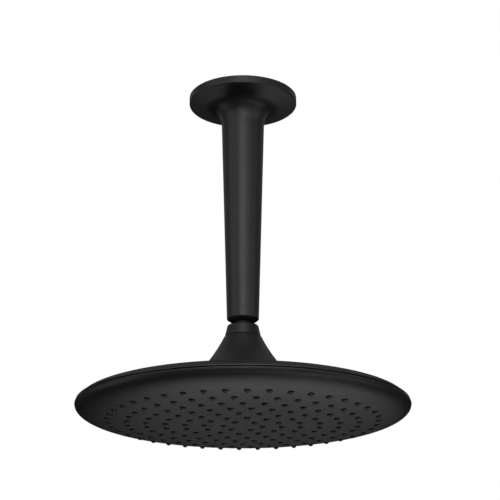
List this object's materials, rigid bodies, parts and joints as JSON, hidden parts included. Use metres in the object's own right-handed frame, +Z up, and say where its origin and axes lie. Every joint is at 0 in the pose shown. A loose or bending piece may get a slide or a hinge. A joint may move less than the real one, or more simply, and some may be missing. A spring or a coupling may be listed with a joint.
{
  "type": "ceiling rain shower head",
  "caption": "Round rain shower head on a tapered ceiling arm, with a ball joint, a ceiling flange and soft spray nozzles in rings.",
  "frame": {"origin": "centre of the ceiling plane, on the arm's axis: the middle of the flange's top face", "axes": "+Z up along the arm's axis, towards the ceiling; the head hangs below; -Y is the side the picture looks at"},
  "size_m": [0.254, 0.254, 0.2876],
  "materials": {
    "black_metal": "matt black powder coat on metal",
    "black_plastic": "matt black coated ABS",
    "inner_plastic": "plain moulded plastic",
    "nozzle_silicone": "soft matt silicone",
    "seal_rubber": "matt rubber",
    "acetal": "smooth white acetal",
    "brass": "machined brass",
    "steel": "stainless steel"
  },
  "bodies": {
    "arm": {"arm_sleeve": "black_metal", "supply_pipe": "brass", "flange_gasket": "seal_rubber", "centring_bush": "acetal", "connector_washer": "seal_rubber", "swivel_connector": "black_metal"},
    "seat_above": {"upper_seat": "acetal"},
    "seat_below": {"lower_seat": "acetal"},
    "head": {"collar_nut": "black_metal", "neck_seal": "seal_rubber", "seat_washer": "seal_rubber", "inlet_bush": "brass", "bush_seal": "seal_rubber", "filter_screen": "steel", "flow_regulator": "acetal", "back_shell": "black_plastic", "chamber_plate": "inner_plastic", "chamber_seal": "seal_rubber", "nozzle_mat": "nozzle_silicone", "face_shell": "black_plastic", "chamber_screw_1": "steel", "chamber_screw_2": "steel", "chamber_screw_3": "steel", "chamber_screw_4": "steel", "chamber_screw_5": "steel", "chamber_screw_6": "steel", "chamber_screw_7": "steel", "chamber_screw_8": "steel", "chamber_screw_9": "steel", "chamber_screw_10": "steel", "chamber_screw_11": "steel", "chamber_screw_12": "steel"}
  },
  "joints": [
    {"name": "tilt_front_back", "type": "hinge", "parent": "arm", "child": "seat_above", "pos_m": [0, 0, -0.201], "axis": [1, 0, 0], "range_deg": [-9, 9]},
    {"name": "tilt_side", "type": "hinge", "parent": "seat_above", "child": "seat_below", "pos_m": [0, 0, -0.201], "axis": [0, 1, 0], "range_deg": [-9, 9]},
    {"name": "head_spin", "type": "hinge", "parent": "seat_below", "child": "head", "pos_m": [0, 0, -0.201], "axis": [0, 0, 1], "continuous": true}
  ]
}
